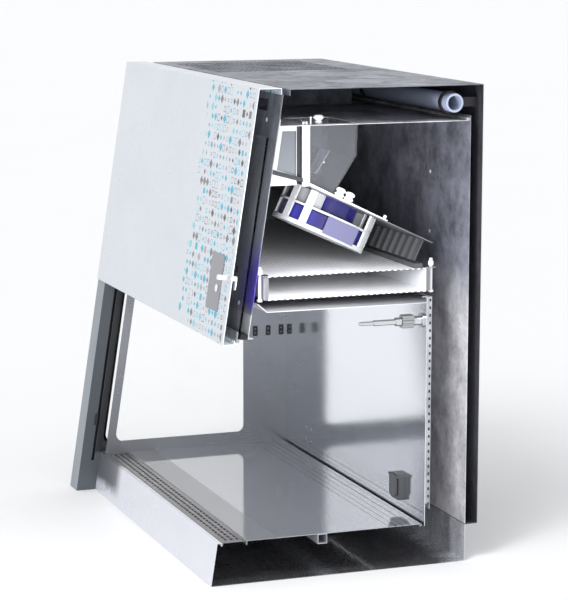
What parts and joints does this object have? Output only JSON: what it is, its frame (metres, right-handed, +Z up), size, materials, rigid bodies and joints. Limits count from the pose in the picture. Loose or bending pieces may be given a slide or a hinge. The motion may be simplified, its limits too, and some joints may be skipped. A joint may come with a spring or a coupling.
{
  "type": "biosafety cabinet",
  "caption": "Sectioned biosafety cabinet with leaning front, sliding glass sash, hinged front cover, tilted fan deck, supply filter, exhaust duct, gas tap and splash-proof socket.",
  "frame": {"origin": "on the floor, under the centre of the cabinet's overall box", "axes": "+Z up, -Y to the operator's side, +X to the open sectioned end"},
  "size_m": [1.24, 0.86, 1.355],
  "materials": {
    "white_paint": "smooth gloss powder coat",
    "grey_paint": "satin grey paint",
    "dark_paint": "satin dark grey paint",
    "zinc": "mottled galvanised sheet",
    "stainless": "polished stainless sheet",
    "black_gloss": "gloss black",
    "rubber": "matte",
    "glass": "clear float glass",
    "acrylic": "clear moulded plastic",
    "filter_media": "pleated glass-fibre paper",
    "wall_core": "light foam core behind zinc foil",
    "filter_white": "white coated frame",
    "white_plastic": "moulded white plastic",
    "fan_grey": "moulded light grey plastic",
    "fan_blue": "moulded blue plastic",
    "lavender": "moulded lavender plastic",
    "cyan_panel": "gloss front film",
    "black_plastic": "fine grained",
    "steel": "turned steel",
    "chrome": "polished",
    "pipe_blue": "blue-grey tube"
  },
  "bodies": {
    "cabinet": {"base_pan": "black_gloss", "base_fascia": "white_paint", "front_grille": "stainless", "worktop": "stainless", "worktop_supports": "stainless", "side_panel": "grey_paint", "side_liner": "stainless", "side_windows": "glass", "window_gaskets": "rubber", "service_ports": "black_plastic", "front_column": "grey_paint", "sash_guide": "black_plastic", "sash_stop_block": "dark_paint", "chamber_rear_wall": "stainless", "rear_wall_core": "wall_core", "rear_panel": "zinc", "plenum_wall": "dark_paint", "ceiling_panel": "zinc", "roof_panel": "zinc", "exhaust_grille": "zinc", "exhaust_filter_case": "zinc", "exhaust_filter_pack": "filter_media", "inner_front_wall": "dark_paint", "sash_seal": "rubber", "roof_knuckles": "steel", "cover_catch": "black_plastic", "fan_deck": "dark_paint", "fan_frame": "white_plastic", "fan_housing": "fan_grey", "fan_motor": "fan_blue", "terminal_plate": "lavender", "fan_hangers": "white_plastic", "deck_rail": "dark_paint", "deck_nuts": "white_plastic", "exhaust_duct": "acrylic", "deck_bellows": "rubber", "filter_frame": "filter_white", "filter_top_guard": "white_plastic", "filter_lower_guard": "zinc", "filter_pack": "filter_media", "filter_clamps": "white_plastic", "clamp_brackets": "zinc", "diffuser": "stainless", "service_pipe": "pipe_blue", "pipe_clips": "black_plastic", "tap_body": "chrome", "socket_body": "white_plastic", "electronics_box": "grey_paint"},
    "front_cover": {"front_cover": "white_paint", "control_panel": "cyan_panel", "cover_leaves": "steel"},
    "cover_lock": {"lock_knob": "white_plastic"},
    "sash": {"sash_glass": "glass", "sash_rail": "steel"},
    "counterweight": {"counterweight": "steel"},
    "pulley": {"sash_pulley": "black_plastic"},
    "fan_rotor": {"fan_impeller": "fan_blue"},
    "damper": {"damper_blade": "zinc"},
    "tap_wheel": {"tap_handwheel": "white_plastic"},
    "socket_cover": {"socket_flap": "white_plastic"}
  },
  "joints": [
    {"name": "front_cover_hinge", "type": "hinge", "parent": "cabinet", "child": "front_cover", "pos_m": [0, -0.14996, 1.3455], "axis": [-1, 0, 0], "range_deg": [0, 70]},
    {"name": "cover_lock_turn", "type": "hinge", "parent": "front_cover", "child": "cover_lock", "pos_m": [0.586, -0.3047, 0.845], "axis": [0, -0.9885, 0.1513], "range_deg": [0, 90]},
    {"name": "sash_slide", "type": "slide", "parent": "cabinet", "child": "sash", "axis": [0, -0.1513, -0.9885], "range_m": [0, 0.55]},
    {"name": "counterweight_slide", "type": "slide", "parent": "cabinet", "child": "counterweight", "axis": [0, 0.1513, 0.9885], "range_m": [0, 0.55]},
    {"name": "sash_pulley_spin", "type": "hinge", "parent": "cabinet", "child": "pulley", "pos_m": [-0.591, -0.20068, 1.2895], "axis": [-1, 0, 0], "range_deg": [0, 1670]},
    {"name": "fan_spin", "type": "hinge", "parent": "cabinet", "child": "fan_rotor", "pos_m": [0.475, 0.03981, 1.03285], "axis": [0, 0.4242, 0.9056], "continuous": true},
    {"name": "damper_turn", "type": "hinge", "parent": "cabinet", "child": "damper", "pos_m": [0.49, -0.03292, 1.15], "axis": [1, 0, 0], "range_deg": [-52, 30]},
    {"name": "tap_turn", "type": "hinge", "parent": "cabinet", "child": "tap_wheel", "pos_m": [0.59, 0.2, 0.697], "axis": [0, -1, 0], "range_deg": [0, 180]},
    {"name": "socket_flap_hinge", "type": "hinge", "parent": "cabinet", "child": "socket_cover", "pos_m": [0.444, 0.2457, 0.222], "axis": [-1, 0, 0], "range_deg": [0, 100]}
  ],
  "couplings": [
    {"joint": "counterweight_slide", "follows": "sash_slide", "ratio": 1},
    {"joint": "sash_pulley_spin", "follows": "sash_slide", "rad_per_m": 52.632}
  ]
}
